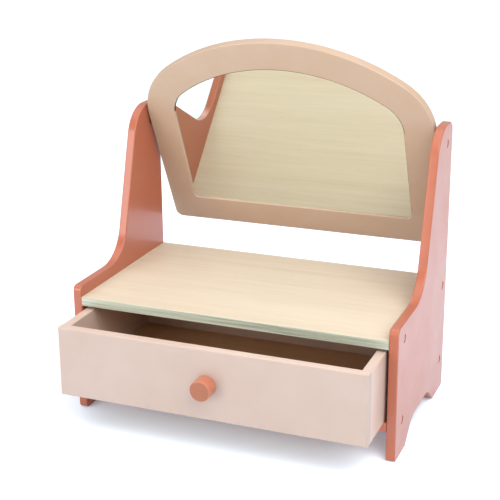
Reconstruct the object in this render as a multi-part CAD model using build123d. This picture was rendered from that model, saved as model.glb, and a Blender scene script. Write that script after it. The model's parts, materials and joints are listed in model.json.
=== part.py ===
from build123d import *

import math
import os

# All sizes are in mm. While the pieces are made, X = 0 is the middle of the table, Y = 0 the
# front edge of the side panels with Y growing to the back, and Z = 0 the floor.

# Boards and edges
board = 9.0
edge_round = 1.2
fine_round = 0.8
side_gap = 1.5

# Case
width = 327.0
depth = 184.0
panel_height = 281.0
lip_height = 130.0
lip_depth = 90.0
lean_deg = 16.0
lip_corner_r = 5.5
hollow_r = 40.0
crest_r = 36.0
heel_r = 11.0
foot_corner_r = 4.0
arch_front_y = 36.0
arch_rear_y = 144.0
arch_height = 18.8
arch_slope_deg = 40.3
arch_r = 30.0
top_z = 119.0
bottom_z = 29.5

# Joinery of the case
plug_r = 4.0
plug_thick = 1.4
plug_recess = 0.5
counterbore = 4.5
screw_front_y = 21.5
screw_rear_y = 168.0
screw_head_r = 3.6
screw_head_h = 2.4
screw_shank_r = 1.95
screw_hole_r = 2.0
screw_length = 30.0
dowel_r = 3.0
dowel_in_side = 5.0
dowel_in_board = 15.0
back_dowel_z = (58.0, 91.0)

# Mirror, in its own plane: x across, z up from the pivot, y through the thickness
pivot_y = 163.5
pivot_z = 261.6
tilt_deg = 23.9
shoulder_x = 86.0
shoulder_z = 11.0
arch_centre_z = -105.8
outer_shoulder_r = 67.0
outer_bottom_z = -127.6
outer_corner_r = 8.0
side_taper_deg = 1.25
inner_shoulder_r = 36.0
inner_bottom_z = -97.6
inner_corner_r = 5.0
glass_recess = 2.0
glass_thick = 3.0
glass_margin = 6.0
backing_margin = 14.0
backing_screw_margin = 10.0
backing_arch_deg = (-33.0, -11.0, 11.0, 33.0)
backing_side_z = -40.0
backing_bottom_x = 70.0
small_screw_head_r = 2.6
small_screw_head_h = 1.5
small_screw_shank_r = 1.2
small_screw_length = 6.0
small_clearance = 0.05
pivot_shank_r = 2.45
pivot_hole_r = 2.5
pivot_head_r = 3.5
pivot_head_h = 2.2
pivot_seat_gap = 0.2
pivot_in_frame = 15.0
washer_r = 4.2
washer_hole_r = 2.6
washer_gap = 0.1

# Drawer
drawer_width = 303.5
drawer_height = 68.7
drawer_depth = 174.0
drawer_open = 51.6
drawer_lift = 0.1
floor_thick = 3.0
floor_height = 10.0
groove = 4.0
drawer_dowel_r = 2.5
drawer_dowel_in_face = 5.0
drawer_dowel_in_edge = 13.0
drawer_dowel_height = (17.0, 54.0)
knob_r = 10.0
knob_length = 14.5
knob_round = 1.0
knob_bore = 11.0
knob_bore_end = 1.0
knob_screw_head_r = 4.2
knob_screw_head_h = 2.3

# Cross slot in every screw head
slot_width = 0.9
slot_depth_share = 0.45
slot_share = 1.1
pan_share = 0.85
tip_length = 2.5
tip_share = 0.33

# How far a cutting shape passes through the board it cuts
past = 1.0

# Worked out from the sizes above
half = width / 2
inner_half = half - board
top_under_z = top_z - board
bottom_top_z = bottom_z + board
back_front_y = depth - board
drawer_half = drawer_width / 2
drawer_front_y = -drawer_open
drawer_base_z = bottom_top_z + drawer_lift
drawer_top_z = drawer_base_z + drawer_height
drawer_rear_y = drawer_front_y + drawer_depth
tilt = math.radians(tilt_deg)
glass_y = -board / 2 + glass_recess
backing_y = glass_y + glass_thick
rear_reach = (
    pivot_y
    - (outer_bottom_z + edge_round) * math.sin(tilt)
    + (board / 2 - edge_round) * math.cos(tilt)
    + edge_round
)
front_reach = drawer_front_y - knob_length
centre_y = (rear_reach + front_reach) / 2


def block(x0, x1, y0, y1, z0, z1):
    """Square-edged board between two opposite corners."""
    low = Align.MIN
    shape = Box(x1 - x0, y1 - y0, z1 - z0, align=(low, low, low))
    return Pos(x0, y0, z0) * shape


def rounded_corners(outline, corners):
    """Round an outline at each (point, radius) pair."""
    for point, radius in corners:
        corner = outline.vertices().sort_by_distance(Vector(*point, 0))[0]
        outline = fillet(corner, radius=radius)
    return outline


def bar(radius, start, end, axis):
    """Round bar along one axis from start to end, centred on the other two."""
    turn = {"x": Rot(0, 90, 0), "y": Rot(-90, 0, 0)}[axis]
    place = {"x": Pos(start, 0, 0), "y": Pos(0, start, 0)}[axis]
    base = (Align.CENTER, Align.CENTER, Align.MIN)
    return place * turn * Cylinder(radius, end - start, align=base)


def group(pieces):
    """Separate solids kept together as one node."""
    return Compound([solid for piece in pieces for solid in piece.solids()])


def screw(top_r, seat_r, head_h, shank_r, length):
    """Cross-head screw pointing down, the top of its head at Z = 0."""
    lower = (Align.CENTER, Align.CENTER, Align.MAX)
    head = Cone(seat_r, top_r, head_h, align=lower)
    shank = Pos(0, 0, -head_h) * Cylinder(shank_r, length - tip_length, align=lower)
    tip_z = -head_h - length + tip_length
    tip = Pos(0, 0, tip_z) * Cone(shank_r * tip_share, shank_r, tip_length, align=lower)
    slot_long = top_r * slot_share
    slot_depth = head_h * slot_depth_share
    slots = Box(slot_long, slot_width, slot_depth, align=lower)
    slots += Box(slot_width, slot_long, slot_depth, align=lower)
    return head + shank + tip - slots


def pan_screw(head_r, head_h, shank_r, length):
    """Cross-head screw whose head is widest at its seat."""
    return screw(head_r * pan_share, head_r, head_h, shank_r, length)


def hardware_points():
    """Side, depth and height of the eight screws that hold the case together."""
    heights = (top_under_z + board / 2, bottom_z + board / 2)
    depths = (screw_front_y, screw_rear_y)
    return [(side, y, z) for side in (-1, 1) for z in heights for y in depths]


def outward(side):
    """Turn that points a piece's top out through the left (-1) or right (1) panel."""
    return Rot(0, 90 * side, 0)


# ------------------------------------------------------------------ case


def side_panel():
    """Right side panel: stepped front edge, rounded crest, arched foot."""
    lean = math.tan(math.radians(lean_deg))
    crest_y = lip_depth + (panel_height - lip_height) * lean
    run = arch_height / math.tan(math.radians(arch_slope_deg))
    rounds = [
        ((0, 0), foot_corner_r),
        ((0, lip_height), lip_corner_r),
        ((lip_depth, lip_height), hollow_r),
        ((crest_y, panel_height), crest_r),
        ((depth, panel_height), heel_r),
        ((depth, 0), foot_corner_r),
        ((arch_rear_y, 0), foot_corner_r),
        ((arch_rear_y - run, arch_height), arch_r),
        ((arch_front_y + run, arch_height), arch_r),
        ((arch_front_y, 0), foot_corner_r),
    ]
    outline = rounded_corners(Polygon(*[c for c, _ in rounds], align=None), rounds)
    panel = extrude(Plane.YZ.offset(inner_half) * outline, amount=board, dir=(1, 0, 0))
    across = panel.faces().sort_by(Axis.X)
    panel = fillet(across[0].edges() + across[-1].edges(), radius=edge_round)
    holes = [(y, z, screw_hole_r) for side, y, z in hardware_points() if side == 1]
    holes.append((pivot_y, pivot_z, pivot_hole_r))
    for y, z, hole_r in holes:
        panel -= Pos(0, y, z) * bar(hole_r, inner_half - past, half, "x")
        panel -= Pos(0, y, z) * bar(plug_r, half - counterbore, half + past, "x")
    for z in back_dowel_z:
        seat = bar(dowel_r, inner_half, inner_half + dowel_in_side, "x")
        panel -= Pos(0, depth - board / 2, z) * seat
    return panel


def shelf(z0, round_r):
    """Board between the side panels with its front edge eased and screw holes in its ends."""
    shape = block(-inner_half, inner_half, 0, depth, z0, z0 + board)
    front = shape.faces().sort_by(Axis.Y)[0]
    shape = fillet(front.edges().filter_by(Axis.X), radius=round_r)
    reach = inner_half - screw_length
    for y in (screw_front_y, screw_rear_y):
        for x0, x1 in ((-inner_half, -reach), (reach, inner_half)):
            shape -= Pos(0, y, z0 + board / 2) * bar(screw_hole_r, x0, x1, "x")
    return shape


def back_panel():
    """Upright board between the side panels that closes the back of the drawer space."""
    shape = block(-inner_half, inner_half, back_front_y, depth, bottom_top_z, top_under_z)
    reach = inner_half - dowel_in_board
    for z in back_dowel_z:
        for x0, x1 in ((-inner_half, -reach), (reach, inner_half)):
            shape -= Pos(0, depth - board / 2, z) * bar(dowel_r, x0, x1, "x")
    return shape


def back_dowels():
    """Four dowels through the ends of the back panel into the side panels."""
    pegs = []
    x0 = inner_half - dowel_in_board + fine_round
    x1 = inner_half + dowel_in_side - small_clearance
    for z in back_dowel_z:
        peg = Pos(0, depth - board / 2, z) * bar(dowel_r - small_clearance, x0, x1, "x")
        pegs += [peg, mirror(peg, about=Plane.YZ)]
    return group(pegs)


def case_screws():
    """Eight screws through the side panels into the ends of both shelves."""
    shape = pan_screw(screw_head_r, screw_head_h, screw_shank_r, screw_length)
    seat_x = half - counterbore + screw_head_h
    points = hardware_points()
    return group([Pos(s * seat_x, y, z) * outward(s) * shape for s, y, z in points])


def plugs(points):
    """Round cover plugs, each set a little below the outer face of a side panel."""
    lower = (Align.CENTER, Align.CENTER, Align.MAX)
    disc = Cylinder(plug_r - small_clearance, plug_thick, align=lower)
    rim = disc.edges().filter_by(GeomType.CIRCLE).group_by(Axis.Z)[-1]
    disc = fillet(rim, radius=plug_recess)
    outer_x = half - plug_recess
    return group([Pos(s * outer_x, y, z) * outward(s) * disc for s, y, z in points])


# ---------------------------------------------------------------- mirror


def arched_outline(shoulder_r, base_z, corner_r, taper_deg=0.0):
    """Outline with an arched top, round shoulders and a square foot, drawn as x and z."""
    run = math.hypot(shoulder_x, shoulder_z - arch_centre_z)
    arch = run + shoulder_r
    meet_x = shoulder_x * arch / run
    meet_z = arch_centre_z + (shoulder_z - arch_centre_z) * arch / run
    taper = math.radians(taper_deg)
    side_x = shoulder_x + shoulder_r * math.cos(taper)
    side_z = shoulder_z - shoulder_r * math.sin(taper)
    base_x = side_x - (side_z - base_z) * math.tan(taper)
    half_turn = (math.atan2(meet_z - shoulder_z, meet_x - shoulder_x) - taper) / 2
    mid_x = shoulder_x + shoulder_r * math.cos(half_turn)
    mid_z = shoulder_z + shoulder_r * math.sin(half_turn)
    crown = ThreePointArc((-meet_x, meet_z), (0, arch_centre_z + arch), (meet_x, meet_z))
    right = ThreePointArc((meet_x, meet_z), (mid_x, mid_z), (side_x, side_z))
    left = ThreePointArc((-side_x, side_z), (-mid_x, mid_z), (-meet_x, meet_z))
    foot = Polyline((side_x, side_z), (base_x, base_z), (-base_x, base_z), (-side_x, side_z))
    outline = make_face([crown, right, left, *foot.edges()])
    corners = [((base_x, base_z), corner_r), ((-base_x, base_z), corner_r)]
    return rounded_corners(outline, corners)


def sheet(outline, y0, y1):
    """Flat sheet of an upright outline from y0 (front) to y1 (back)."""
    return extrude(Plane.XZ.offset(-y0) * outline, amount=y1 - y0, dir=(0, 1, 0))


def inset_outline(margin):
    """Outline of the mirror's opening grown by a margin all round."""
    corner = inner_corner_r if margin == 0 else inner_corner_r - fine_round
    return arched_outline(inner_shoulder_r + margin, inner_bottom_z - margin, corner)


def backing_points():
    """Places of the eight small screws round the rim of the backing board."""
    run = math.hypot(shoulder_x, shoulder_z - arch_centre_z)
    arch = run + inner_shoulder_r + backing_screw_margin
    angles = [math.radians(a) for a in backing_arch_deg]
    points = [(arch * math.sin(a), arch_centre_z + arch * math.cos(a)) for a in angles]
    side_x = shoulder_x + inner_shoulder_r + backing_screw_margin
    base_z = inner_bottom_z - backing_screw_margin
    points += [(-side_x, backing_side_z), (side_x, backing_side_z)]
    return points + [(-backing_bottom_x, base_z), (backing_bottom_x, base_z)]


def mirror_frame():
    """Arched ring with a stepped rebate in its back for the mirror and its backing."""
    outer = arched_outline(outer_shoulder_r, outer_bottom_z, outer_corner_r, side_taper_deg)
    frame = sheet(outer, -board / 2, board / 2)
    across = frame.faces().sort_by(Axis.Y)
    frame = fillet(across[0].edges() + across[-1].edges(), radius=edge_round)
    frame -= sheet(inset_outline(0), -board, board)
    lip = frame.faces().sort_by(Axis.Y)[0].inner_wires()[0]
    frame = fillet(lip.edges(), radius=fine_round)
    frame -= sheet(inset_outline(glass_margin), glass_y, board)
    frame -= sheet(inset_outline(backing_margin), backing_y, board)
    for x, z in backing_points():
        hole = bar(small_screw_shank_r + small_clearance, glass_y, board, "y")
        frame -= Pos(x, 0, z) * hole
    reach = inner_half - side_gap - pivot_in_frame - small_clearance
    for x0, x1 in ((-half, -reach), (reach, half)):
        frame -= bar(pivot_hole_r, x0, x1, "x")
    return frame


def mirror_plate():
    """Silvered sheet behind the frame's lip."""
    return sheet(inset_outline(glass_margin - small_clearance), glass_y, backing_y)


def mirror_backing():
    """Thin board that closes the back of the frame, countersunk for its screws."""
    shape = sheet(inset_outline(backing_margin - small_clearance), backing_y, board / 2)
    sink_r = small_screw_head_r + small_clearance
    base = (Align.CENTER, Align.CENTER, Align.MAX)
    sink = Cone(small_screw_shank_r + small_clearance, sink_r, small_screw_head_h, align=base)
    for x, z in backing_points():
        hole = bar(small_screw_shank_r + small_clearance, backing_y - past, board, "y")
        shape -= Pos(x, 0, z) * hole
        shape -= Pos(x, board / 2, z) * Rot(-90, 0, 0) * sink
    return shape


def backing_screws():
    """Eight small countersunk screws, flush with the back of the backing board."""
    top_r = small_screw_head_r
    shank_r = small_screw_shank_r
    length = small_screw_length - small_screw_head_h
    shape = screw(top_r, shank_r, small_screw_head_h, shank_r, length)
    turned = Rot(-90, 0, 0) * shape
    return group([Pos(x, board / 2, z) * turned for x, z in backing_points()])


def pivot_screw():
    """Right pivot screw: head under its plug, shank through the panel into the frame."""
    seat_x = half - counterbore + pivot_seat_gap + pivot_head_h
    length = seat_x - pivot_head_h - (inner_half - side_gap - pivot_in_frame)
    shape = pan_screw(pivot_head_r, pivot_head_h, pivot_shank_r, length)
    return Pos(seat_x, 0, 0) * outward(1) * shape


def pivot_washer():
    """Right friction washer between the frame's edge and the side panel."""
    x0 = inner_half - side_gap
    x1 = inner_half - washer_gap
    return bar(washer_r, x0, x1, "x") - bar(washer_hole_r, x0 - past, x1 + past, "x")


# ---------------------------------------------------------------- drawer


def drawer_floor():
    """Thin floor board, held in grooves on all four sides."""
    x = drawer_half - board + groove
    y0 = drawer_front_y + board - groove
    y1 = drawer_rear_y - board + groove
    z0 = drawer_base_z + floor_height
    return block(-x, x, y0, y1, z0, z0 + floor_thick)


def drawer_dowels():
    """Eight dowels: two at each corner of the drawer."""
    front_y = drawer_front_y + board
    rear_y = drawer_rear_y - board / 2
    side_x = drawer_half - board / 2
    inner_x = drawer_half - board
    pegs = []
    for height in drawer_dowel_height:
        z = drawer_base_z + height
        start = front_y - drawer_dowel_in_face
        front_peg = bar(drawer_dowel_r, start, front_y + drawer_dowel_in_edge, "y")
        end = inner_x + drawer_dowel_in_face
        rear_peg = bar(drawer_dowel_r, inner_x - drawer_dowel_in_edge, end, "x")
        for peg in (Pos(side_x, 0, z) * front_peg, Pos(0, rear_y, z) * rear_peg):
            pegs += [peg, mirror(peg, about=Plane.YZ)]
    return group(pegs)


def drawer_front():
    """Front board, the full width of the drawer, eased round its face and drilled for the knob."""
    y1 = drawer_front_y + board
    shape = block(-drawer_half, drawer_half, drawer_front_y, y1, drawer_base_z, drawer_top_z)
    face = shape.faces().sort_by(Axis.Y)[0]
    shape = fillet(face.edges(), radius=edge_round)
    shape -= drawer_floor()
    shape -= drawer_dowels()
    knob_z = drawer_base_z + drawer_height / 2
    return shape - Pos(0, 0, knob_z) * bar(screw_hole_r, drawer_front_y - past, y1 + past, "y")


def drawer_side():
    """Right side board of the drawer, its top edges eased."""
    y0 = drawer_front_y + board
    x0 = drawer_half - board
    shape = block(x0, drawer_half, y0, drawer_rear_y, drawer_base_z, drawer_top_z)
    top = shape.faces().sort_by(Axis.Z)[-1]
    shape = fillet(top.edges().filter_by(Axis.Y), radius=edge_round)
    shape -= drawer_floor()
    return shape - drawer_dowels()


def drawer_back():
    """Back board of the drawer, between the side boards."""
    x = drawer_half - board
    y0 = drawer_rear_y - board
    shape = block(-x, x, y0, drawer_rear_y, drawer_base_z, drawer_top_z)
    top = shape.faces().sort_by(Axis.Z)[-1]
    shape = fillet(top.edges().filter_by(Axis.X), radius=edge_round)
    shape -= drawer_floor()
    return shape - drawer_dowels()


def drawer_knob():
    """Short round knob with an eased rim and a blind bore for its screw."""
    knob = bar(knob_r, drawer_front_y - knob_length, drawer_front_y, "y")
    rim = knob.edges().filter_by(GeomType.CIRCLE).sort_by(Axis.Y)[0]
    knob = fillet(rim, radius=knob_round)
    knob -= bar(screw_hole_r, drawer_front_y - knob_bore, drawer_front_y, "y")
    return Pos(0, 0, drawer_base_z + drawer_height / 2) * knob


def knob_screw():
    """Screw from inside the drawer, through its front board into the knob."""
    length = board + knob_bore - knob_bore_end
    shape = pan_screw(knob_screw_head_r, knob_screw_head_h, screw_shank_r, length)
    y = drawer_front_y + board + knob_screw_head_h
    return Pos(0, y, drawer_base_z + drawer_height / 2) * Rot(-90, 0, 0) * shape


# -------------------------------------------------------------- assembly

right_side = side_panel()
case_plug_points = hardware_points()
pivot_plug_points = [(side, pivot_y, pivot_z) for side in (-1, 1)]
case_nodes = {
    "right_side_panel": right_side,
    "left_side_panel": mirror(right_side, about=Plane.YZ),
    "table_top": shelf(top_under_z, fine_round),
    "bottom_panel": shelf(bottom_z, fine_round),
    "back_panel": back_panel(),
    "back_panel_dowels": back_dowels(),
    "case_screws": case_screws(),
    "screw_plugs": plugs(case_plug_points),
    "pivot_plugs": plugs(pivot_plug_points),
}

right_pivot = pivot_screw()
right_washer = pivot_washer()
mirror_nodes = {
    "mirror_frame": mirror_frame(),
    "mirror_plate": mirror_plate(),
    "mirror_backing": mirror_backing(),
    "backing_screws": backing_screws(),
    "right_pivot_screw": right_pivot,
    "left_pivot_screw": mirror(right_pivot, about=Plane.YZ),
    "right_pivot_washer": right_washer,
    "left_pivot_washer": mirror(right_washer, about=Plane.YZ),
}

right_drawer_side = drawer_side()
drawer_nodes = {
    "drawer_front": drawer_front(),
    "drawer_right_side": right_drawer_side,
    "drawer_left_side": mirror(right_drawer_side, about=Plane.YZ),
    "drawer_back": drawer_back(),
    "drawer_floor": drawer_floor(),
    "drawer_dowels": drawer_dowels(),
    "drawer_knob": drawer_knob(),
    "knob_screw": knob_screw(),
}

# The finished part stands on Z = 0 with the middle of its whole depth at Y = 0
centre = Pos(0, -centre_y, 0)
lean_forward = Pos(0, pivot_y, pivot_z) * Rot(tilt_deg, 0, 0)
nodes = {name: centre * shape for name, shape in (case_nodes | drawer_nodes).items()}
nodes |= {name: centre * lean_forward * shape for name, shape in mirror_nodes.items()}

os.makedirs("parts", exist_ok=True)
for name, shape in nodes.items():
    shape.label = name
    export_step(shape, f"parts/{name}.step")
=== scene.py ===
import json
import logging
import math
from collections.abc import Callable, Iterator
from contextlib import contextmanager
from dataclasses import dataclass, field
from enum import Enum
from typing import Any

import bmesh
import bpy
from mathutils import Matrix, Vector


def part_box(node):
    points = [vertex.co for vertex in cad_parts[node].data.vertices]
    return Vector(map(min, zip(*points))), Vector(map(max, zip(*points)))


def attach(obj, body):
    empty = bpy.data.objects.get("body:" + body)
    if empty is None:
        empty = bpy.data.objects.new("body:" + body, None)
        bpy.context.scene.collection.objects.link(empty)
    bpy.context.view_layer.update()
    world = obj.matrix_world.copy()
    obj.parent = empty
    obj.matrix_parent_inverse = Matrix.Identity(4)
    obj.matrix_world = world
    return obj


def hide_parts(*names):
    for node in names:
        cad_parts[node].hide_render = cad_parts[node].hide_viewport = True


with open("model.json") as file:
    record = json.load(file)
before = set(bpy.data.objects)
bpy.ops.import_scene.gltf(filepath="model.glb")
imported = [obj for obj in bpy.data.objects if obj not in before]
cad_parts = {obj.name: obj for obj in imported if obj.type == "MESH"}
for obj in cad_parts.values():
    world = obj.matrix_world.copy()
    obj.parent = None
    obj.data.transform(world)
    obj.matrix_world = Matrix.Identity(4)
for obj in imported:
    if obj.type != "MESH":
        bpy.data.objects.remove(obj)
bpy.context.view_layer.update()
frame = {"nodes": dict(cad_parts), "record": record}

MM = 0.001
SMOOTH_ANGLE = math.radians(32)
WELD = 0.01 * MM
SLIVER = 0.001 * MM
# How far a cutter reaches past the surface that it cuts, in mm
PAST = 1.0
log = logging.getLogger("dressing_table")

Piece = bpy.types.Object
Material = bpy.types.Material
Tree = bpy.types.NodeTree
Node = bpy.types.Node
Socket = bpy.types.NodeSocket
Point = tuple[float, float]
Triple = tuple[float, float, float]
Colour = tuple[float, float, float, float]
Test = Callable[[Vector, Vector], bool]


class Body(Enum):
    """The three bodies that move as one piece each."""

    CASE = "case"
    MIRROR = "mirror"
    DRAWER = "drawer"


class Slot(Enum):
    """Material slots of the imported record."""

    CORAL = "coral_paint"
    PINK = "pink_paint"
    WOOD = "pale_wood"
    DOWEL = "dowel_wood"
    PLYWOOD = "raw_plywood"
    STEEL = "zinc_steel"
    NYLON = "nylon"
    SILVER = "mirror_sheet"


class Side(Enum):
    """Left and right of the table, seen from the front."""

    LEFT = -1
    RIGHT = 1

    @property
    def label(self) -> str:
        """Word used in the names of that side's pieces."""
        return self.name.lower()


# ---- bench


def deselect_all() -> None:
    """Leave nothing selected and nothing in edit mode."""
    if bpy.context.object and bpy.context.object.mode != "OBJECT":
        bpy.ops.object.mode_set(mode="OBJECT")
    bpy.ops.object.select_all(action="DESELECT")


def activate(piece: Piece) -> None:
    """Make one piece the only selected and active one.

    Args:
        piece: the piece.
    """
    deselect_all()
    piece.select_set(True)
    bpy.context.view_layer.objects.active = piece


@contextmanager
def editing(piece: Piece, everything: bool = False) -> Iterator[None]:
    """Hold a piece in edit mode.

    Args:
        piece: the piece to shape.
        everything: start with all of it selected instead of none.

    Returns:
        A context that goes back to object mode at its end.
    """
    activate(piece)
    bpy.ops.object.mode_set(mode="EDIT")
    bpy.ops.mesh.select_mode(type="VERT")
    bpy.ops.mesh.select_all(action="SELECT" if everything else "DESELECT")
    yield
    bpy.ops.object.mode_set(mode="OBJECT")


def pick_edges(piece: Piece, test: Test) -> None:
    """Select the edges whose two ends pass a test.

    Args:
        piece: the piece in edit mode.
        test: takes the edge's two end points.
    """
    bpy.ops.mesh.select_mode(type="EDGE")
    shape = bmesh.from_edit_mesh(piece.data)
    for edge in shape.edges:
        edge.select_set(test(edge.verts[0].co, edge.verts[1].co))
    bmesh.update_edit_mesh(piece.data)


def pick_faces(piece: Piece, test: Test) -> None:
    """Select the faces that pass a test.

    Args:
        piece: the piece in edit mode.
        test: takes the face's centre and its normal.
    """
    bpy.ops.mesh.select_mode(type="FACE")
    shape = bmesh.from_edit_mesh(piece.data)
    for face in shape.faces:
        face.select_set(test(face.calc_center_median(), face.normal))
    bmesh.update_edit_mesh(piece.data)


def settle(piece: Piece, place: Matrix | None = None) -> None:
    """Put a piece's place into its mesh, its object at the origin, unturned and unscaled.

    Args:
        piece: the piece to settle.
        place: an extra move applied first, if given.
    """
    if place is not None:
        piece.matrix_world = place @ piece.matrix_world
    activate(piece)
    bpy.ops.object.transform_apply(location=True, rotation=True, scale=True)


def block(name: str, low: Vector, high: Vector) -> Piece:
    """Square board between two corners, ready to be shaped.

    Args:
        name: the piece's name.
        low: its lowest corner.
        high: its highest corner.

    Returns:
        The new piece.
    """
    deselect_all()
    bpy.ops.mesh.primitive_cube_add(size=1, location=(low + high) / 2, scale=high - low)
    piece = bpy.context.object
    piece.name = name
    settle(piece)
    return piece


def rounded(corners: list[Triple], steps: int = 10) -> list[Point]:
    """Outline with its corners turned into true arcs.

    Args:
        corners: along, up and radius of each corner, in order round the outline.
        steps: segments of each arc.

    Returns:
        The points of the outline.
    """
    points: list[Point] = []
    for index, (x, y, radius) in enumerate(corners):
        here = Vector((x, y))
        back = (Vector(corners[index - 1][:2]) - here).normalized()
        ahead = (Vector(corners[(index + 1) % len(corners)][:2]) - here).normalized()
        half = back.angle(ahead) / 2
        centre = here + (back + ahead).normalized() * (radius / math.sin(half))
        reach = radius / math.tan(half)
        start = here + back * reach - centre
        turn = start.angle_signed(here + ahead * reach - centre)
        for step in range(steps + 1):
            arm = start.copy()
            arm.rotate(Matrix.Rotation(-turn * step / steps, 2))
            points.append(tuple(centre + arm))
    return points


def chain(name: str, points: list[Point]) -> Piece:
    """Open chain of edges drawn in X and Z.

    Args:
        name: the piece's name.
        points: points along the chain.

    Returns:
        The new piece.
    """
    deselect_all()
    bpy.ops.mesh.primitive_plane_add(size=MM)
    piece = bpy.context.object
    piece.name = name
    with editing(piece, everything=True):
        bpy.ops.mesh.merge(type="CENTER")
        x, z = points[0]
        bpy.ops.transform.translate(value=(x, 0, z))
        for ahead_x, ahead_z in points[1:]:
            step = {"value": (ahead_x - x, 0, ahead_z - z)}
            bpy.ops.mesh.extrude_vertices_move(TRANSFORM_OT_translate=step)
            x, z = ahead_x, ahead_z
    return piece


def slab(name: str, outline: list[Point], depth: float) -> Piece:
    """Flat board cut to an outline, drawn in its own X and Z and thickened along +Y.

    Args:
        name: the piece's name.
        outline: points round the board.
        depth: its thickness.

    Returns:
        The new piece, with its front face at Y = 0.
    """
    piece = chain(name, outline)
    with editing(piece, everything=True):
        bpy.ops.mesh.edge_face_add()
        bpy.ops.mesh.extrude_region_move(TRANSFORM_OT_translate={"value": (0, depth, 0)})
        bpy.ops.mesh.select_all(action="SELECT")
        bpy.ops.mesh.normals_make_consistent(inside=False)
    return piece


def turned(name: str, profile: list[Point], steps: int = 48) -> Piece:
    """Piece turned on a lathe: a profile of radius and height spun round Z.

    Args:
        name: the piece's name.
        profile: radius and height of each point, from the axis to the axis.
        steps: sides of the round.

    Returns:
        The new piece, standing on the origin.
    """
    piece = chain(name, profile)
    with editing(piece, everything=True):
        bpy.ops.mesh.spin(steps=steps, angle=math.tau, center=(0, 0, 0), axis=(0, 0, 1))
        bpy.ops.mesh.select_all(action="SELECT")
        bpy.ops.mesh.remove_doubles(threshold=WELD)
        bpy.ops.mesh.normals_make_consistent(inside=False)
    return piece


def ease(piece: Piece, test: Test, width: float, steps: int = 3) -> None:
    """Round over the edges that pass a test.

    Args:
        piece: the piece to ease.
        test: takes an edge's two end points.
        width: radius of the round.
        steps: segments across it.
    """
    with editing(piece):
        pick_edges(piece, test)
        bpy.ops.mesh.bevel(offset=width, segments=steps, profile=0.5, affect="EDGES")


def cut(piece: Piece, cutters: list[Piece]) -> None:
    """Take each cutter's shape out of a piece, put the cutters away and mend slivers.

    Args:
        piece: the piece to cut.
        cutters: closed shapes that reach past the surface they cut.
    """
    for cutter in cutters:
        activate(piece)
        step = piece.modifiers.new("cut", "BOOLEAN")
        step.operation = "DIFFERENCE"
        step.solver = "EXACT"
        step.object = cutter
        bpy.ops.object.modifier_apply(modifier=step.name)
        bpy.data.objects.remove(cutter)
    with editing(piece, everything=True):
        bpy.ops.mesh.dissolve_degenerate(threshold=SLIVER)
        bpy.ops.mesh.fill_holes(sides=4)
        bpy.ops.mesh.normals_make_consistent(inside=False)


def copied(piece: Piece, name: str, place: Matrix) -> Piece:
    """Copy of a piece with its own mesh, moved or mirrored into place.

    Args:
        piece: the piece to copy.
        name: the copy's name.
        place: where the copy goes, counted from the first piece.

    Returns:
        The copy.
    """
    activate(piece)
    bpy.ops.object.duplicate(linked=False)
    twin = bpy.context.object
    twin.name = name
    settle(twin, place)
    if place.determinant() < 0:
        with editing(twin, everything=True):
            bpy.ops.mesh.normals_make_consistent(inside=False)
    return twin


def smooth(piece: Piece) -> None:
    """Shade the rounds of a piece smooth and keep its flats flat.

    Args:
        piece: the piece.
    """
    activate(piece)
    bpy.ops.object.shade_smooth_by_angle(angle=SMOOTH_ANGLE)
    step = piece.modifiers.new("flat_faces", "WEIGHTED_NORMAL")
    step.keep_sharp = True
    bpy.ops.object.modifier_apply(modifier=step.name)


def joined(pieces: list[Piece], name: str) -> Piece:
    """Join separate pieces into one object.

    Args:
        pieces: the pieces to join.
        name: the whole's name.

    Returns:
        The whole.
    """
    activate(pieces[0])
    for piece in pieces[1:]:
        piece.select_set(True)
    bpy.ops.object.join()
    pieces[0].name = name
    return pieces[0]


def steps_between(start: float, end: float, count: int) -> list[float]:
    """Evenly spaced values from start to end.

    Args:
        start: the first value.
        end: the last value.
        count: how many steps lie between them.

    Returns:
        The values, both ends among them.
    """
    return [start + (end - start) * step / count for step in range(count + 1)]


def bar(name: str, radius: float, low: Vector, length: float, axis: str) -> Piece:
    """Round cutter or peg along X or Y.

    Args:
        name: the piece's name.
        radius: its radius.
        low: centre of its lower end.
        length: its length.
        axis: "x" or "y".

    Returns:
        The new piece.
    """
    deselect_all()
    turn = {"x": (0, math.pi / 2, 0), "y": (-math.pi / 2, 0, 0)}[axis]
    along = Vector((1, 0, 0)) if axis == "x" else Vector((0, 1, 0))
    bpy.ops.mesh.primitive_cylinder_add(
        vertices=48, radius=radius, depth=length, location=low + along * length / 2, rotation=turn
    )
    piece = bpy.context.object
    piece.name = name
    settle(piece)
    return piece


# ---- finishes


def linear(code: str) -> Colour:
    """Linear colour of an sRGB hex code.

    Args:
        code: six hex digits.

    Returns:
        Red, green, blue and an alpha of 1.
    """
    parts = [int(code[i : i + 2], 16) / 255 for i in (0, 2, 4)]
    lit = [c / 12.92 if c <= 0.04045 else ((c + 0.055) / 1.055) ** 2.4 for c in parts]
    return (*lit, 1.0)


def add_node(
    tree: Tree,
    kind: str,
    settings: dict[str, Any] | None = None,
    links: dict[str | int, Socket] | None = None,
) -> Node:
    """Add a node, set its sockets or properties, and link its inputs.

    Args:
        tree: the material's node tree.
        kind: the node's type.
        settings: values by socket name or property name.
        links: output sockets by the name or number of the input that they feed.

    Returns:
        The new node.
    """
    node = tree.nodes.new(kind)
    for name, value in (settings or {}).items():
        if name in node.inputs:
            node.inputs[name].default_value = value
        else:
            setattr(node, name, value)
    for name, source in (links or {}).items():
        tree.links.new(source, node.inputs[name])
    return node


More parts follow.
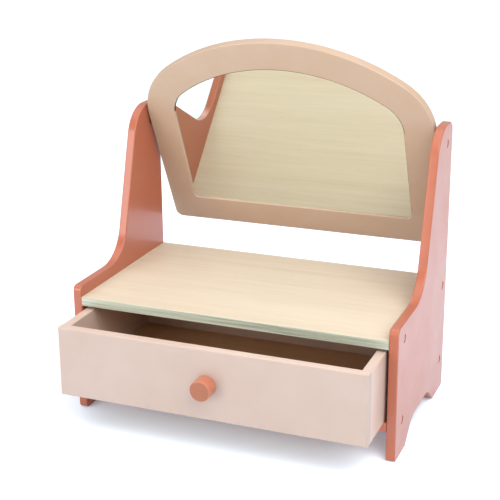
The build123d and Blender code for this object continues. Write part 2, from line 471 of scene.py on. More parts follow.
def add_ramp(tree: Tree, source: Socket, stops: dict[float, Colour]) -> Node:
    """Add a colour ramp fed by a value.

    Args:
        tree: the material's node tree.
        source: the value that drives the ramp.
        stops: linear colours by position.

    Returns:
        The ramp.
    """
    node = add_node(tree, "ShaderNodeValToRGB", links={"Fac": source})
    elements = node.color_ramp.elements
    while len(elements) < len(stops):
        elements.new(1.0)
    for element, (position, colour) in zip(elements, stops.items()):
        element.position = position
        element.color = colour
    return node


def grey(value: float) -> Colour:
    """Grey of one value for a ramp."""
    return (value, value, value, 1.0)


def new_tree(name: str) -> tuple[Material, Tree]:
    """Start an empty node material.

    Args:
        name: the material's name.

    Returns:
        The material and its tree.
    """
    material = bpy.data.materials.new(name)
    material.use_nodes = True
    material.node_tree.nodes.clear()
    return material, material.node_tree


def finish_tree(tree: Tree, surface: Socket) -> None:
    """Feed a surface to the material's output."""
    add_node(tree, "ShaderNodeOutputMaterial", links={"Surface": surface})


def add_stretch(tree: Tree, where: Socket, scale: Triple) -> Socket:
    """Add a scaling of a point.

    Args:
        tree: the material's node tree.
        where: the point.
        scale: its scale along X, Y and Z; under 1 draws a pattern out.

    Returns:
        The scaled point.
    """
    links = {"Vector": where}
    return add_node(tree, "ShaderNodeMapping", {"Scale": scale}, links).outputs["Vector"]


def add_noise(
    tree: Tree, where: Socket, size_mm: float, detail: float = 2.0, roughness: float = 0.5
) -> Socket:
    """Add a noise.

    Args:
        tree: the material's node tree.
        where: the point that it is read at.
        size_mm: about how far apart its features are.
        detail: how many finer noises are laid over it.
        roughness: how strong those are.

    Returns:
        The noise's value.
    """
    settings = {"Scale": 1.0 / (size_mm * MM), "Detail": detail, "Roughness": roughness}
    return add_node(tree, "ShaderNodeTexNoise", settings, {"Vector": where}).outputs["Fac"]


def add_bump(
    tree: Tree, height: Socket, depth_mm: float, under: Socket | None = None
) -> Socket:
    """Add a relief.

    Args:
        tree: the material's node tree.
        height: the value that is raised.
        depth_mm: the relief's depth.
        under: a relief that this one lies over, if any.

    Returns:
        The shading normal.
    """
    links = {"Height": height}
    if under is not None:
        links["Normal"] = under
    settings = {"Strength": 1.0, "Distance": depth_mm * MM}
    return add_node(tree, "ShaderNodeBump", settings, links).outputs["Normal"]


@dataclass(frozen=True)
class SatinPaint:
    """Water-based satin lacquer, sprayed on sanded MDF and beech.

    The eye sees an even colour with soft clouds, a fine orange peel and a broad, mild shine.
    Duller and without a coat it also stands for moulded nylon and for the dark painted shade on the
    mirror frame's lip.
    """

    name: str
    colour: str
    cloud: str
    roughness: float = 0.42
    specular: float = 0.5
    coat: float = 0.0
    coat_roughness: float = 0.22
    cloud_mm: float = 38.0
    peel_mm: float = 1.3
    peel_depth_mm: float = 0.012
    fibre_mm: float = 2.2
    fibre_depth_mm: float = 0.01
    fibre_stretch: float = 0.06
    duller: float = 0.05
    shinier: float = 0.04

    def material(self) -> Material:
        """Build the node material.

        Returns:
            The material.
        """
        material, tree = new_tree(self.name)
        where = add_node(tree, "ShaderNodeTexCoord").outputs["Object"]
        clouds = add_noise(tree, where, self.cloud_mm, 3.0, 0.6)
        colour = add_ramp(tree, clouds, {0.32: linear(self.cloud), 0.68: linear(self.colour)})
        low, high = self.roughness - self.shinier, self.roughness + self.duller
        rough = add_ramp(tree, clouds, {0.3: grey(low), 0.7: grey(high)})
        peel = add_bump(tree, add_noise(tree, where, self.peel_mm), self.peel_depth_mm)
        # The board's fibres show faintly through the paint, drawn coarser than real to show
        drawn = add_stretch(tree, where, (1, 1, self.fibre_stretch))
        fibres = add_noise(tree, drawn, self.fibre_mm)
        shader = add_node(
            tree,
            "ShaderNodeBsdfPrincipled",
            {
                "Specular IOR Level": self.specular,
                "Coat Weight": self.coat,
                "Coat Roughness": self.coat_roughness,
            },
            {
                "Base Color": colour.outputs["Color"],
                "Roughness": rough.outputs["Color"],
                "Normal": add_bump(tree, fibres, self.fibre_depth_mm, peel),
            },
        )
        finish_tree(tree, shader.outputs["BSDF"])
        return material


@dataclass(frozen=True)
class PaleVeneer:
    """Basswood veneer, sanded and sealed with matt water-based varnish.

    The eye sees long, straight, quiet grain, short darker flecks and almost no shine.
    """

    name: str
    light: str
    mid: str
    dark: str
    roughness: float = 0.5
    band_mm: float = 16.0
    grain_mm: float = 1.6
    fleck_mm: float = 0.9
    grain_depth_mm: float = 0.02
    grain_share: float = 0.08
    fleck_share: float = 0.25
    band_ratio: float = 18.0
    grain_ratio: float = 40.0
    fleck_ratio: float = 9.0

    def material(self) -> Material:
        """Build the node material, its grain along X.

        Returns:
            The material.
        """
        material, tree = new_tree(self.name)
        bands = add_ramp(
            tree,
            self.streaks(tree, self.band_mm, self.band_ratio, 3),
            {0.3: linear(self.mid), 0.62: linear(self.light)},
        )
        grain_value = self.streaks(tree, self.grain_mm, self.grain_ratio, 4)
        grain = add_ramp(tree, grain_value, {0.36: linear(self.dark), 0.56: grey(1.0)})
        lined = add_node(
            tree,
            "ShaderNodeMixRGB",
            {"blend_type": "MULTIPLY", "Fac": self.grain_share},
            {"Color1": bands.outputs["Color"], "Color2": grain.outputs["Color"]},
        )
        fleck_value = self.streaks(tree, self.fleck_mm, self.fleck_ratio, 1)
        flecks = add_ramp(tree, fleck_value, {0.7: grey(0.0), 0.78: grey(1.0)})
        flecked = add_node(
            tree,
            "ShaderNodeMixRGB",
            {"blend_type": "MULTIPLY", "Color2": linear(self.dark)},
            {"Color1": lined.outputs["Color"]},
        )
        share = add_node(
            tree, "ShaderNodeMath", {"operation": "MULTIPLY"}, {0: flecks.outputs["Color"]}
        )
        share.inputs[1].default_value = self.fleck_share
        tree.links.new(share.outputs["Value"], flecked.inputs["Fac"])
        bump = add_bump(tree, grain_value, self.grain_depth_mm)
        shader = add_node(
            tree,
            "ShaderNodeBsdfPrincipled",
            {"Roughness": self.roughness},
            {"Base Color": flecked.outputs["Color"], "Normal": bump},
        )
        finish_tree(tree, shader.outputs["BSDF"])
        return material

    @staticmethod
    def streaks(tree: Tree, across_mm: float, ratio: float, detail: float) -> Socket:
        """Noise stretched along the grain.

        Args:
            tree: the material's node tree.
            across_mm: width of a streak.
            ratio: length of a streak over its width.
            detail: how much finer noise is laid over it.

        Returns:
            The noise's value.
        """
        where = add_node(tree, "ShaderNodeTexCoord").outputs["Object"]
        drawn = add_stretch(tree, where, (1 / ratio, 1, 1))
        return add_noise(tree, drawn, across_mm, detail, 0.55)


@dataclass(frozen=True)
class SilveredSheet:
    """Silvered acrylic sheet: a clean reflection with the faintest waviness."""

    name: str
    colour: str
    roughness: float = 0.025
    wave_mm: float = 60.0
    wave_depth_mm: float = 0.004
    haze_swing: float = 0.3

    def material(self) -> Material:
        """Build the node material.

        Returns:
            The material.
        """
        material, tree = new_tree(self.name)
        where = add_node(tree, "ShaderNodeTexCoord").outputs["Object"]
        waves = add_noise(tree, where, self.wave_mm)
        bump = add_bump(tree, waves, self.wave_depth_mm)
        haze = add_ramp(
            tree,
            waves,
            {
                0.3: grey(self.roughness * (1 - self.haze_swing)),
                0.7: grey(self.roughness * (1 + self.haze_swing)),
            },
        )
        shader = add_node(
            tree,
            "ShaderNodeBsdfPrincipled",
            {"Base Color": linear(self.colour), "Metallic": 1.0},
            {"Normal": bump, "Roughness": haze.outputs["Color"]},
        )
        finish_tree(tree, shader.outputs["BSDF"])
        return material


@dataclass(frozen=True)
class PlatedSteel:
    """Zinc-plated steel screws: bright grey with fine drawn scratches."""

    name: str
    light: str
    dark: str
    roughness: float = 0.32
    scratch_mm: float = 0.5
    scratch_stretch: float = 0.15
    duller: float = 0.1
    shinier: float = 0.08

    def material(self) -> Material:
        """Build the node material.

        Returns:
            The material.
        """
        material, tree = new_tree(self.name)
        where = add_node(tree, "ShaderNodeTexCoord").outputs["Object"]
        drawn = add_stretch(tree, where, (self.scratch_stretch, 1, 1))
        scratches = add_noise(tree, drawn, self.scratch_mm, 3.0)
        colour = add_ramp(tree, scratches, {0.3: linear(self.dark), 0.7: linear(self.light)})
        low, high = self.roughness - self.shinier, self.roughness + self.duller
        rough = add_ramp(tree, scratches, {0.3: grey(low), 0.7: grey(high)})
        shader = add_node(
            tree,
            "ShaderNodeBsdfPrincipled",
            {"Metallic": 1.0},
            {"Base Color": colour.outputs["Color"], "Roughness": rough.outputs["Color"]},
        )
        finish_tree(tree, shader.outputs["BSDF"])
        return material


def made(finish: SatinPaint | PaleVeneer | SilveredSheet | PlatedSteel) -> Any:
    """Dataclass field that holds a finish's material."""
    return field(default_factory=finish.material)


@dataclass
class Finishes:
    """The finishes of the dressing table, each made once."""

    coral: Material = made(
        SatinPaint("coral_satin_lacquer", "A75C41", "A3573C", roughness=0.34, coat=0.3)
    )
    # Coral made lighter as painted light for the knob's top and sides
    knob: Material = made(
        SatinPaint("coral_knob_painted_light", "B56C52", "B1674D", roughness=0.34, coat=0.3)
    )
    # Coral made darker as painted shade for the knob's front face
    knob_face_painted_shade: Material = made(
        SatinPaint("coral_knob_painted_shade", "995F44", "91573E", specular=0.4)
    )
    pink: Material = made(
        SatinPaint("pale_pink_satin_lacquer", "AE998D", "AB9588", roughness=0.38, coat=0.3)
    )
    # The pale pink made lighter as painted light, for the drawer's sides, back and the top of its
    # front
    pink_painted_lit: Material = made(
        SatinPaint("pink_lacquer_painted_light", "C3AC9F", "C0A89A", roughness=0.38, coat=0.3)
    )
    # The pale pink darkened and warmed as painted shade, for the downward-facing mirror frame
    pink_painted_shade: Material = made(
        SatinPaint("pink_lacquer_painted_shade", "B39983", "B0957C", roughness=0.4, coat=0.2)
    )
    # Dark brown painted shade for the mirror frame's lip, where it turns away from the light
    painted_lip_shade: Material = made(
        SatinPaint("dark_lip_painted_shade", "3E3024", "35281D", roughness=0.7, specular=0.2)
    )
    edge: Material = made(
        PaleVeneer(
            "veneered_edge_washed_green",
            "B8BBA8",
            "A7AA98",
            "646654",
            grain_mm=2.4,
            grain_share=0.4,
        )
    )
    veneer: Material = made(PaleVeneer("basswood_veneer", "CDBEAA", "C7B8A1", "B29A7C"))
    peg: Material = made(PaleVeneer("beech_dowel", "B09A78", "A88F6B", "866542"))
    plywood: Material = made(
        PaleVeneer("raw_birch_plywood", "CDA77F", "C49B70", "906D48", roughness=0.6)
    )
    silver: Material = made(SilveredSheet("silvered_acrylic", "E4E9E0"))
    steel: Material = made(PlatedSteel("zinc_plated_steel", "C9CBCC", "9FA3A6"))
    nylon: Material = made(SatinPaint("dark_nylon", "3A332E", "332D28", roughness=0.5))

    def by_slot(self) -> dict[Slot, Material]:
        """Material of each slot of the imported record."""
        return {
            Slot.CORAL: self.coral,
            Slot.PINK: self.pink,
            Slot.WOOD: self.veneer,
            Slot.DOWEL: self.peg,
            Slot.PLYWOOD: self.plywood,
            Slot.STEEL: self.steel,
            Slot.NYLON: self.nylon,
            Slot.SILVER: self.silver,
        }


def dress(piece: Piece, *materials: Material) -> None:
    """Give a piece these materials in place of any it has.

    Args:
        piece: the piece.
        materials: its materials, in the order of their slots.
    """
    piece.data.materials.clear()
    for material in materials:
        piece.data.materials.append(material)


def dress_faces(piece: Piece, test: Test) -> None:
    """Give the faces that pass a test the piece's second material.

    Args:
        piece: a piece dressed with two materials.
        test: takes a face's centre and its normal.
    """
    with editing(piece):
        pick_faces(piece, test)
        piece.active_material_index = 1
        bpy.ops.object.material_slot_assign()


def fit(piece: Piece, body: Body, slot: Slot, *nodes: str) -> None:
    """Finish a new piece and let it stand for its CAD nodes.

    Args:
        piece: the finished piece.
        body: the body that it moves with.
        slot: the record's material slot; not used.
        nodes: the CAD nodes that it stands for.
    """
    smooth(piece)
    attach(piece, body.value)
    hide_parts(*nodes)
    log.info("%s: %d faces, rides on %s", piece.name, len(piece.data.polygons), body.value)


# ---- case

# Where the panels' front edge lies in the shared frame, in mm
PANEL_FRONT_Y = -76.41346731
PIVOT: Point = (163.5, 261.6)


def spot(x: float, y: float, z: float) -> Vector:
    """Point in metres, from mm counted across, back from the panels' front edge, and up."""
    return Vector((x, y + PANEL_FRONT_Y, z)) * MM


def box(node: str) -> list[Vector]:
    """Lowest and highest corner of a CAD node."""
    return [Vector(corner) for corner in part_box(node)]


def near(a: float, b: float, slack_mm: float = 0.02) -> bool:
    """Whether two lengths in metres are the same."""
    return abs(a - b) < slack_mm * MM


def in_planes(axis: str, *levels: float) -> Test:
    """Make a test for edges that lie in planes square to an axis.

    Args:
        axis: "x", "y" or "z".
        levels: where the planes lie along it, in metres.

    Returns:
        The test, for ease.
    """
    return lambda a, b: any(
        near(getattr(a, axis), level) and near(getattr(b, axis), level) for level in levels
    )


@dataclass(frozen=True)
class SidePanels:
    """Two painted boards with a stepped front edge, a round crest and an arched foot.

    Sizes are in mm. Depths are counted from the front edge and heights from the floor.
    """

    finishes: Finishes
    half_width: float = 163.5
    board: float = 9.0
    depth: float = 184.0
    height: float = 281.0
    lip_height: float = 130.0
    lip_depth: float = 90.0
    lean_deg: float = 16.0
    lip_r: float = 5.5
    hollow_r: float = 40.0
    crest_r: float = 36.0
    heel_r: float = 11.0
    foot_r: float = 4.0
    arch_front: float = 36.0
    arch_rear: float = 144.0
    arch_height: float = 18.8
    arch_slope_deg: float = 40.3
    arch_r: float = 30.0
    edge_r: float = 1.2
    pocket_r: float = 4.0
    pocket_depth: float = 4.5
    pocket_edge: float = 0.3
    plug_top: float = 0.5
    plug_thick: float = 1.4
    plug_gap: float = 0.06
    plug_dish: float = 0.12
    plug_soft: float = 0.45
    hole_r: float = 2.0
    pivot_hole_r: float = 2.5
    dowel_r: float = 3.0
    dowel_depth: float = 5.0
    screws: tuple[Point, ...] = ((21.5, 114.5), (168.0, 114.5), (21.5, 34.0), (168.0, 34.0))
    dowels: tuple[Point, ...] = ((179.5, 58.0), (179.5, 91.0))
    pivot: Point = PIVOT

    def build(self) -> None:
        """Make both panels and the plugs over their screws."""
        right = self.panel()
        left = copied(right, "left_side_board", Matrix.Diagonal((-1, 1, 1, 1)))
        for side, piece in ((Side.RIGHT, right), (Side.LEFT, left)):
            dress(piece, self.finishes.coral)
            fit(piece, Body.CASE, Slot.CORAL, f"{side.label}_side_panel")
        self.cover("screw_cover_plugs", self.screws, "screw_plugs")
        self.cover("pivot_cover_plugs", (self.pivot,), "pivot_plugs")

    def outline(self) -> list[Point]:
        """Points round a panel, as depth and height in mm.

        Returns:
            The outline.
        """
        crest = self.lip_depth + (self.height - self.lip_height) * math.tan(
            math.radians(self.lean_deg)
        )
        run = self.arch_height / math.tan(math.radians(self.arch_slope_deg))
        return rounded(
            [
                (0, 0, self.foot_r),
                (0, self.lip_height, self.lip_r),
                (self.lip_depth, self.lip_height, self.hollow_r),
                (crest, self.height, self.crest_r),
                (self.depth, self.height, self.heel_r),
                (self.depth, 0, self.foot_r),
                (self.arch_rear, 0, self.foot_r),
                (self.arch_rear - run, self.arch_height, self.arch_r),
                (self.arch_front + run, self.arch_height, self.arch_r),
                (self.arch_front, 0, self.foot_r),
            ]
        )

    def panel(self) -> Piece:
        """Cut the right panel to its outline, drill it and ease its edges.

        Returns:
            The right panel.
        """
        points = [(depth * MM, height * MM) for depth, height in self.outline()]
        piece = slab("right_side_board", points, self.board * MM)
        quarter = Matrix.Rotation(math.pi / 2, 4, "Z")
        settle(piece, Matrix.Translation(spot(self.half_width, 0, 0)) @ quarter)
        outer = self.half_width * MM
        inner = (self.half_width - self.board) * MM
        ease(piece, in_planes("x", outer, inner), self.edge_r * MM)
        inside = self.half_width - self.board - PAST
        bottom = self.half_width - self.pocket_depth
        cutters = []
        for depth, height, radius in self.holes():
            low = spot(inside, depth, height)
            cutters.append(bar("hole", radius * MM, low, (self.board + 2 * PAST) * MM, "x"))
            low, deep = spot(bottom, depth, height), (self.pocket_depth + PAST) * MM
            cutters.append(bar("pocket", self.pocket_r * MM, low, deep, "x"))
        for depth, height in self.dowels:
            low, deep = spot(inside, depth, height), (self.dowel_depth + PAST) * MM
            cutters.append(bar("seat", self.dowel_r * MM, low, deep, "x"))
        cut(piece, cutters)
        ease(piece, self.on_pocket_rim, self.pocket_edge * MM, steps=2)
        return piece

    def holes(self) -> list[tuple[float, float, float]]:
        """Depth, height and radius of each screw hole.

        Returns:
            The holes, the pivot's last.
        """
        drilled = [(depth, height, self.hole_r) for depth, height in self.screws]
        return drilled + [(*self.pivot, self.pivot_hole_r)]

    def on_pocket_rim(self, a: Vector, b: Vector) -> bool:
        """Whether both ends of an edge lie on the outer rim of one plug pocket.

        Args:
            a: one end.
            b: the other end.

        Returns:
            True on a rim.
        """
        outer = self.half_width * MM
        if not (near(a.x, outer) and near(b.x, outer)):
            return False
        for depth, height, _ in self.holes():
            centre = spot(self.half_width, depth, height)
            if all(near((end - centre).length, self.pocket_r * MM) for end in (a, b)):
                return True
        return False

    def plug_profile(self) -> list[Point]:
        """Radius and height of a plug's half section: dished, with a soft rim.

        Returns:
            The profile in metres, from the axis to the axis.
        """
        r = (self.pocket_r - self.plug_gap) * MM
        top, soft, dish = -self.plug_top * MM, self.plug_soft * MM, self.plug_dish * MM
        under = top - self.plug_thick * MM
        return [
            (0, top - dish),
            (r * 0.45, top - dish / 1.2),
            (r - soft * 1.4, top),
            (r - soft / 2, top - soft / 4),
            (r, top - soft),
            (r, under),
            (0, under),
        ]

    def cover(self, name: str, places: tuple[Point, ...], node: str) -> None:
        """Turn one plug and set a copy in every pocket of both panels.

        Args:
            name: name of the finished set.
            places: depth and height of the pockets.
            node: the CAD node that the set stands for.
        """
        plug = turned(name, self.plug_profile(), steps=40)
        settle(plug, Matrix.Rotation(math.pi / 2, 4, "Y"))
        copies = []
        for depth, height in places:
            for side in Side:
                flip = Matrix.Diagonal((side.value, 1, 1, 1))
                place = Matrix.Translation(spot(side.value * self.half_width, depth, height)) @ flip
                copies.append(copied(plug, name, place))
        bpy.data.objects.remove(plug)
        whole = joined(copies, name)
        dress(whole, self.finishes.coral)
        fit(whole, Body.CASE, Slot.CORAL, node)


@dataclass(frozen=True)
class Boards:
    """The table top and the board under the drawer, between the side panels. Sizes in mm."""

    finishes: Finishes
    edge_r: float = 0.8
    front_lean: float = -0.6

    def build(self) -> None:
        """Make both boards."""
        top = self.shelf("veneered_top", "table_top", self.finishes.veneer, self.finishes.edge)
        fit(top, Body.CASE, Slot.WOOD, "table_top")
        base = self.shelf("base_board", "bottom_panel", self.finishes.coral, self.finishes.coral)
        fit(base, Body.CASE, Slot.CORAL, "bottom_panel")

    def shelf(self, name: str, node: str, face: Material, front: Material) -> Piece:
        """Plane one board and ease the long edges of its front.

        Args:
            name: the board's name.
            node: the CAD node whose box it fills.
            face: finish of its faces.
            front: finish of its front edge.

        Returns:
            The board.
        """
        low, high = box(node)
        piece = block(name, low, high)
        ease(
            piece,
            lambda a, b: near(a.y, low.y) and near(b.y, low.y) and near(a.z, b.z),
            self.edge_r * MM,
        )
        dress(piece, face, front)
        dress_faces(piece, lambda centre, normal: normal.y < self.front_lean)
        return piece


# ---- mirror


@dataclass(frozen=True)
class Mirror:
    """Arched frame and its silvered sheet, tilted on two pivots.

    Sizes are in mm, drawn across and up from the pivots in the frame's own plane.
    """

    finishes: Finishes
    pivot: Point = PIVOT
    tilt_deg: float = 23.9
    board: float = 9.0
    shoulder: Point = (86.0, 11.0)
    arch_centre: float = -105.8
    outer_r: float = 67.0
    outer_base: float = -127.6
    outer_corner: float = 8.0
    taper_deg: float = 1.25
    inner_r: float = 36.0
    inner_base: float = -97.6
    inner_corner: float = 5.0
    edge_r: float = 1.2
    lip_r: float = 0.8
    sheet_recess: float = 2.0
    sheet_thick: float = 3.0
    sheet_margin: float = 6.0
    backing_margin: float = 14.0
    pivot_hole_r: float = 2.5
    pivot_hole_depth: float = 15.1
    half_width: float = 153.0
    rim_slack: float = 0.6
    # Normal limits of the lip faces that get the dark painted shade
    shade_down: float = -0.15
    shade_left: float = -0.2
    crown_steps: int = 28
    shoulder_steps: int = 14
    foot_steps: int = 8

    def build(self) -> None:
        """Make the frame and its sheet."""
        frame_piece = self.ring()
        self.paint_lip_shade(frame_piece)
        self.place(frame_piece)
        fit(frame_piece, Body.MIRROR, Slot.PINK, "mirror_frame")
        sheet = self.sheet("silvered_sheet", self.sheet_margin, self.sheet_recess, self.sheet_thick)
        dress(sheet, self.finishes.silver)
        self.place(sheet)
        fit(sheet, Body.MIRROR, Slot.SILVER, "mirror_plate")

    def outline(
        self, shoulder_r: float, base: float, corner: float, taper_deg: float = 0.0
    ) -> list[Point]:
        """Arched outline with round shoulders and a square foot.

        Args:
            shoulder_r: radius of the shoulders.
            base: height of the foot.
            corner: radius of the foot's corners.
            taper_deg: lean of the sides, inwards at the foot.

        Returns:
            Points round the outline in metres, across and up.
        """
        along, up = self.shoulder
        run = math.hypot(along, up - self.arch_centre)
        arch = run + shoulder_r
        lean = math.atan2(up - self.arch_centre, along)
        taper = math.radians(taper_deg)
        side = along + shoulder_r * math.cos(taper)
        side_z = up - shoulder_r * math.sin(taper)
        foot = side - (side_z - base) * math.tan(taper)
        crown = [
            (arch * math.sin(turn), self.arch_centre + arch * math.cos(turn))
            for turn in steps_between(lean - math.pi / 2, math.pi / 2 - lean, self.crown_steps)
        ]
        right = [
            (along + shoulder_r * math.cos(turn), up + shoulder_r * math.sin(turn))
            for turn in steps_between(lean, -taper, self.shoulder_steps)[1:]
        ]
        steps = self.foot_steps
        half = [(side, side_z, 1), (foot, base, corner)]
        other = [(-x, z, radius) for x, z, radius in reversed(half)]
        # The first and last corners only aim the sides, and their arcs are left off
        feet = rounded(half + other, steps)[steps + 1 : -steps - 1]
        left = [(-x, z) for x, z in reversed(right)]
        return [(x * MM, z * MM) for x, z in crown + right + feet + left]

    def ring(self) -> Piece:
        """Cut the frame to its outline, open it, and step its back for sheet and backing.

        Returns:
            The frame, upright.
        """
        outer = self.outline(self.outer_r, self.outer_base, self.outer_corner, self.taper_deg)
        piece = slab("arched_frame", outer, self.board * MM)
        settle(piece, Matrix.Translation((0, -self.board / 2 * MM, 0)))
        front, back = -self.board / 2 * MM, self.board / 2 * MM
        ease(piece, in_planes("y", front, back), self.edge_r * MM)
        cut(piece, [self.sheet("opening", 0.0, -PAST, self.board + 2 * PAST)])
        ease(
            piece,
            lambda a, b: all(near(end.y, front) and self.inside_lip(end) for end in (a, b)),
            self.lip_r * MM,
        )
        behind_sheet = self.sheet_recess + self.sheet_thick
        cutters = [
            self.sheet("rebate", self.sheet_margin, self.sheet_recess, self.board),
            self.sheet("step", self.backing_margin, behind_sheet, self.board),
        ]
        length = self.pivot_hole_depth + 2 * PAST
        for start in (-self.half_width - 2 * PAST, self.half_width - self.pivot_hole_depth):
            low = Vector((start, 0, 0)) * MM
            cutters.append(bar("pivot_hole", self.pivot_hole_r * MM, low, length * MM, "x"))
        cut(piece, cutters)
        return piece

    def inside_lip(self, point: Vector) -> bool:
        """Whether a point of the front face belongs to the opening's rim.

        Args:
            point: the point, with the frame upright.

        Returns:
            True on the rim.
        """
        along, up = self.shoulder
        x, z = abs(point.x) / MM, point.z / MM
        reach = self.inner_r + self.rim_slack
        if z <= up:
            return x < along + reach and z > self.inner_base - self.rim_slack
        run = math.hypot(along, up - self.arch_centre)
        from_arch = math.hypot(x, z - self.arch_centre)
        from_shoulder = math.hypot(x - along, z - up)
        return from_arch < run + reach or from_shoulder < reach

    def sheet(self, name: str, margin: float, recess: float, thick: float) -> Piece:
        """Flat sheet of the opening's outline.

        Args:
            name: its name.
            margin: how far it reaches past the opening.
            recess: how far its face lies behind the frame's.
            thick: its thickness.

        Returns:
            The sheet, upright.
        """
        corner = self.inner_corner if margin == 0 else self.inner_corner - self.lip_r
        outline = self.outline(self.inner_r + margin, self.inner_base - margin, corner)
        piece = slab(name, outline, thick * MM)
        settle(piece, Matrix.Translation((0, (recess - self.board / 2) * MM, 0)))
        return piece

    def paint_lip_shade(self, piece: Piece) -> None:
        """Paint dark brown shade on the rounded lip along the arch and the right-hand side, where
        it turns away from the light.

        Args:
            piece: the frame, upright.
        """
        # The frame's pink is darkened as painted shade, and the lip's dark brown is painted shade
        # too
        dress(piece, self.finishes.pink_painted_shade, self.finishes.painted_lip_shade)
        depth = (self.sheet_recess - self.board / 2) * MM
        corner_top = (self.inner_base + self.inner_corner) * MM

        def is_shaded(centre: Vector, normal: Vector) -> bool:
            """Whether a face of the lip looks down or to the left, away from the light, and so gets
            the painted shade.
            """
            turned_in = normal.z < self.shade_down or normal.x < self.shade_left
            above = centre.z > corner_top
            return turned_in and above and centre.y < depth and self.inside_lip(centre)

        dress_faces(piece, is_shaded)

    def place(self, piece: Piece) -> None:
        """Tilt a piece and hang it on the pivots.

        Args:
            piece: the piece, upright.
        """
        depth, height = self.pivot
        tilt = Matrix.Rotation(math.radians(self.tilt_deg), 4, "X")
        settle(piece, Matrix.Translation(spot(0, depth, height)) @ tilt)


# ---- drawer


@dataclass(frozen=True)
class Drawer:
    """Painted front, sides and back of the drawer, and its turned knob. Sizes in mm."""

    finishes: Finishes
    edge_r: float = 1.2
    knob_r: float = 10.0
    knob_length: float = 14.5
    knob_edge: float = 1.0
    knob_crown: float = 0.05
    knob_foot: float = 0.3
    level: float = 0.9

    def build(self) -> None:
        """Make the front, the sides, the back and the knob."""
        self.face()
        for side in Side:
            self.board(f"drawer_{side.label}_board", f"drawer_{side.label}_side", "y")
        self.board("drawer_rear_board", "drawer_back", "x")
        self.knob()

    def face(self) -> None:
        """Plane the front board, ease the edges round its face and paint its top faces in the
        lighter pink as a painted highlight.
        """
        low, high = box("drawer_front")
        piece = block("drawer_face", low, high)
        ease(piece, in_planes("y", low.y), self.edge_r * MM)
        dress(piece, self.finishes.pink, self.finishes.pink_painted_lit)
        # The top faces of the front get the lighter pink as a painted highlight
        dress_faces(piece, lambda centre, normal: normal.z > self.level)
        fit(piece, Body.DRAWER, Slot.PINK, "drawer_front")

    def board(self, name: str, node: str, run: str) -> None:
        """Plane one board, ease the long edges of its top and paint it in the pink made lighter as
        painted light.

        Args:
            name: the board's name.
            node: the CAD node whose box it fills.
            run: the way that it runs, "x" or "y".
        """
        low, high = box(node)
        piece = block(name, low, high)
        cross = "y" if run == "x" else "x"
        ease(
            piece,
            lambda a, b: near(a.z, high.z)
            and near(b.z, high.z)
            and near(getattr(a, cross), getattr(b, cross)),
            self.edge_r * MM,
        )
        dress(piece, self.finishes.pink_painted_lit)
        fit(piece, Body.DRAWER, Slot.PINK, node)

    def knob(self) -> None:
        """Turn the knob and set it on the drawer's face."""
        r, length, edge = self.knob_r * MM, self.knob_length * MM, self.knob_edge * MM
        crown, foot = self.knob_crown * MM, self.knob_foot * MM
        round_over = [
            (r - edge + edge * math.sin(t), length - edge + edge * math.cos(t))
            for t in steps_between(0, math.pi / 2, 5)
        ]
        profile = [(0, length - crown), (r * 0.6, length - crown * 0.4), *round_over]
        profile += [(r, foot), (r - foot, 0), (0, 0)]
        piece = turned("turned_knob", profile, 72)
        low, high = box("drawer_knob")
        middle = (low + high) / 2
        forward = Matrix.Rotation(math.pi / 2, 4, "X")
        settle(piece, Matrix.Translation((middle.x, high.y, middle.z)) @ forward)
        # Lighter coral as painted light on the knob's sides, darker coral as painted shade on its
        # front face
        dress(piece, self.finishes.knob, self.finishes.knob_face_painted_shade)
        dress_faces(piece, lambda centre, normal: normal.y < -self.level and centre.y < middle.y)
        fit(piece, Body.DRAWER, Slot.CORAL, "drawer_knob")


# ---- stage


@dataclass(frozen=True)
class Lamp:
    """One square soft light: its place and side in metres and its power in watts."""

    name: str
    place: Triple
    size: float
    power: float

    def hang(self, target: Triple) -> None:
        """Hang the lamp so that it faces a point.

        Args:
            target: the point.
        """
        lamp = bpy.data.objects.new(self.name, bpy.data.lights.new(self.name, "AREA"))
        bpy.context.scene.collection.objects.link(lamp)
        lamp.data.size = self.size
        lamp.data.energy = self.power
        lamp.location = self.place
        aim = Vector(target) - Vector(self.place)
        lamp.rotation_euler = aim.to_track_quat("-Z", "Y").to_euler()


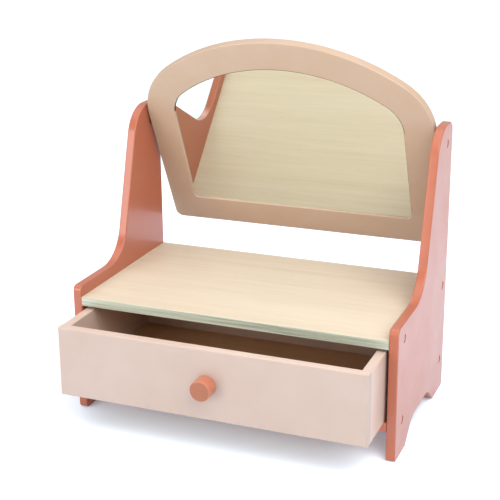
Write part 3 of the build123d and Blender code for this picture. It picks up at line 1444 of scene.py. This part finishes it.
@dataclass(frozen=True)
class Studio:
    """Plain pale floor, soft light and the camera. Lengths are in metres, angles in radians."""

    floor_size: float = 30.0
    floor_drop: float = 0.0002
    floor_colour: str = "E8F1FB"
    floor_glow: float = 0.16
    surround: float = 0.665
    ceiling: float = 1.34
    ceiling_spread: float = 1.25
    backdrop_glow: float = 2.0
    backdrop_size: Point = (14.0, 6.0)
    backdrop_y: float = 4.8
    middle: Triple = (0, 0, 0.12)
    lamps: tuple[Lamp, ...] = (
        Lamp("key", (1.05, -0.95, 1.5), 1.5, 33.0),
        Lamp("front_left", (-1.0, -1.8, 0.6), 1.1, 18.0),
    )
    camera_place: Triple = (0.40451, -1.01786, 0.52895)
    azimuth: float = 0.38613
    elevation: float = 0.31601
    roll: float = 0.00906
    focal_mm: float = 85.41
    sensor_mm: float = 36.0
    shift: Point = (0.00316, -0.01775)

    def build(self) -> None:
        """Make the floor, the lights and the camera."""
        self.lay_floor()
        self.hang_backdrop()
        self.light()
        self.place_camera()
        log.info("studio: floor, backdrop, %d lamps and camera", len(self.lamps))

    def lay_floor(self) -> None:
        """Lay a floor of faintly back-lit white acrylic that runs out of the view."""
        deselect_all()
        bpy.ops.mesh.primitive_plane_add(size=self.floor_size, location=(0, 0, -self.floor_drop))
        floor = bpy.context.object
        floor.name = "studio_floor"
        material, tree = new_tree("white_floor")
        colour = linear(self.floor_colour)
        sheet = add_node(tree, "ShaderNodeBsdfDiffuse", {"Color": colour, "Roughness": 0.5})
        glow = add_node(
            tree, "ShaderNodeEmission", {"Color": colour, "Strength": self.floor_glow}
        )
        both = add_node(tree, "ShaderNodeAddShader")
        tree.links.new(sheet.outputs["BSDF"], both.inputs[0])
        tree.links.new(glow.outputs["Emission"], both.inputs[1])
        finish_tree(tree, both.outputs["Shader"])
        dress(floor, material)

    def hang_backdrop(self) -> None:
        """Stand a lit white paper backdrop behind the table, above the camera's view."""
        deselect_all()
        width, height = self.backdrop_size
        place, turn = (0, self.backdrop_y, height / 2), (math.pi / 2, 0, 0)
        bpy.ops.mesh.primitive_plane_add(
            size=1, location=place, rotation=turn, scale=(width, height, 1)
        )
        backdrop = bpy.context.object
        backdrop.name = "studio_backdrop"
        material, tree = new_tree("lit_white_paper")
        glow = add_node(
            tree, "ShaderNodeEmission", {"Color": (1, 1, 1, 1), "Strength": self.backdrop_glow}
        )
        finish_tree(tree, glow.outputs["Emission"])
        dress(backdrop, material)

    def light(self) -> None:
        """Light with a white surround, a wide ceiling and the lamps."""
        world = bpy.data.worlds.new("white_surround")
        world.use_nodes = True
        background = world.node_tree.nodes["Background"]
        background.inputs["Color"].default_value = (1, 1, 1, 1)
        background.inputs["Strength"].default_value = self.surround
        bpy.context.scene.world = world
        ceiling = bpy.data.objects.new("ceiling", bpy.data.lights.new("ceiling", "SUN"))
        bpy.context.scene.collection.objects.link(ceiling)
        ceiling.data.energy = self.ceiling
        ceiling.data.angle = self.ceiling_spread
        for lamp in self.lamps:
            lamp.hang(self.middle)
        bpy.context.scene.view_settings.view_transform = "Standard"

    def place_camera(self) -> None:
        """Set the camera from its azimuth, elevation and roll."""
        level = math.cos(self.elevation)
        sine, cosine = math.sin(self.azimuth), math.cos(self.azimuth)
        ahead = Vector((-sine * level, cosine * level, -math.sin(self.elevation)))
        right = Vector((cosine, sine, 0))
        down = ahead.cross(right)
        upright, lean = math.cos(self.roll), math.sin(self.roll)
        right, down = right * upright + down * lean, down * upright - right * lean
        turn = Matrix((right, -down, -ahead)).transposed()
        camera = bpy.data.objects.new("camera", bpy.data.cameras.new("camera"))
        bpy.context.scene.collection.objects.link(camera)
        camera.matrix_world = Matrix.Translation(self.camera_place) @ turn.to_4x4()
        camera.data.lens = self.focal_mm
        camera.data.sensor_width = self.sensor_mm
        camera.data.shift_x, camera.data.shift_y = self.shift
        camera.data.clip_end = self.floor_size * 2
        bpy.context.scene.camera = camera


def main() -> None:
    """Build the pieces in order."""
    logging.basicConfig(level=logging.INFO, format="%(message)s")
    finishes = Finishes()
    materials = finishes.by_slot()
    for entry in frame["record"]["subparts"]:
        dress(frame["nodes"][entry["node"]], materials[Slot(entry["material_slot"])])
    SidePanels(finishes).build()
    Boards(finishes).build()
    Mirror(finishes).build()
    Drawer(finishes).build()
    Studio().build()


if __name__ == "__main__":
    main()
